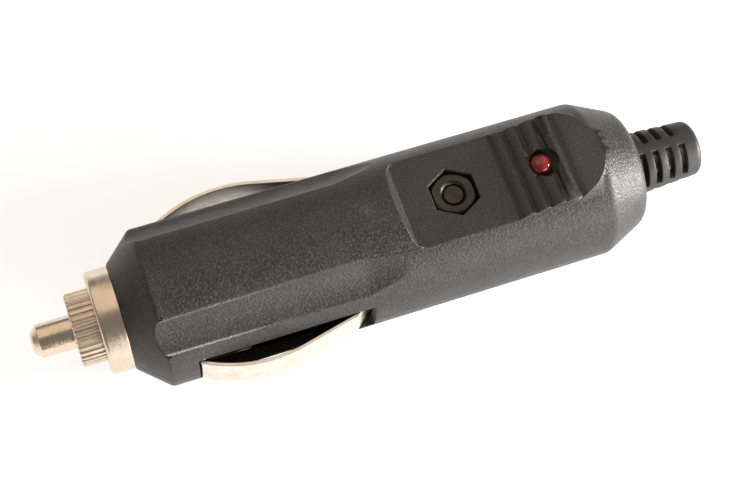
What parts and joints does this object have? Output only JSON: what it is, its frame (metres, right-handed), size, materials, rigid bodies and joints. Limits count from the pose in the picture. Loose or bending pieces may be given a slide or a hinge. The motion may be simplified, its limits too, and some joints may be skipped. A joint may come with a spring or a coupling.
{
  "type": "cigarette lighter plug",
  "caption": "Fused plug for a vehicle's twelve-volt socket: split black case, screwed metal nose with a sprung centre contact, bowed side contacts, red lamp and a windowed cable sleeve.",
  "frame": {"origin": "on the plug's axis, in the plane of the nose cap's front face, where the centre contact comes out", "axes": "+X from the nose towards the cable end, +Z to the side with the nut and the lamp, side contacts on +Y and -Y"},
  "size_m": [0.0924, 0.0254, 0.0207],
  "materials": {
    "case_plastic": "black, finely textured, satin",
    "nickel_plate": "nickel plated, polished, slightly dull",
    "contact_steel": "nickel plated strip, satin",
    "spring_steel": "drawn wire",
    "zinc_steel": "zinc plated, dull",
    "brass_sheet": "pressed sheet",
    "tinned_copper": "tinned wire, satin",
    "fuse_glass": "clear",
    "red_lens": "clear red, glossy",
    "resistor_coat": "lacquered",
    "sleeve_rubber": "soft black, matt"
  },
  "bodies": {
    "housing": {"upper_case": "case_plastic", "lower_case": "case_plastic", "nose_collar": "nickel_plate", "positive_terminal": "brass_sheet", "earth_bridge": "brass_sheet", "case_screw": "zinc_steel", "case_nut": "zinc_steel", "lamp_lens": "red_lens", "lamp_legs": "tinned_copper", "resistor": "resistor_coat", "resistor_lead_front": "tinned_copper", "resistor_lead_rear": "tinned_copper", "earth_lead": "tinned_copper", "cable_sleeve": "sleeve_rubber"},
    "cap_feed": {"contact_spring": "spring_steel"},
    "nose_cap": {"nose_cap": "nickel_plate"},
    "fuse_group": {"centre_contact": "nickel_plate", "fuse_end_cap_front": "nickel_plate", "fuse_glass_tube": "fuse_glass", "fuse_wire": "tinned_copper", "fuse_end_cap_rear": "nickel_plate"},
    "left_contact": {"side_contact_left": "contact_steel"},
    "right_contact": {"side_contact_right": "contact_steel"}
  },
  "joints": [
    {"name": "nose_cap_feed", "type": "slide", "parent": "housing", "child": "cap_feed", "axis": [-1, 0, 0], "range_m": [0, 0.0045], "deforming": ["contact_spring"]},
    {"name": "nose_cap_turn", "type": "hinge", "parent": "cap_feed", "child": "nose_cap", "pos_m": [0, 0, 0], "axis": [-1, 0, 0], "range_deg": [0, 2160]},
    {"name": "tip_press", "type": "slide", "parent": "cap_feed", "child": "fuse_group", "axis": [1, 0, 0], "range_m": [0, 0.0025], "stiffness_N_per_m": 1500, "springref_m": -0.002, "deforming": ["contact_spring"]},
    {"name": "left_contact_press", "type": "slide", "parent": "housing", "child": "left_contact", "axis": [0, -1, 0], "range_m": [0, 0.002], "stiffness_N_per_m": 2000, "springref_m": -0.0005},
    {"name": "right_contact_press", "type": "slide", "parent": "housing", "child": "right_contact", "axis": [0, 1, 0], "range_m": [0, 0.002], "stiffness_N_per_m": 2000, "springref_m": -0.0005}
  ],
  "couplings": [
    {"joint": "nose_cap_turn", "follows": "nose_cap_feed", "rad_per_m": 8377.6}
  ]
}
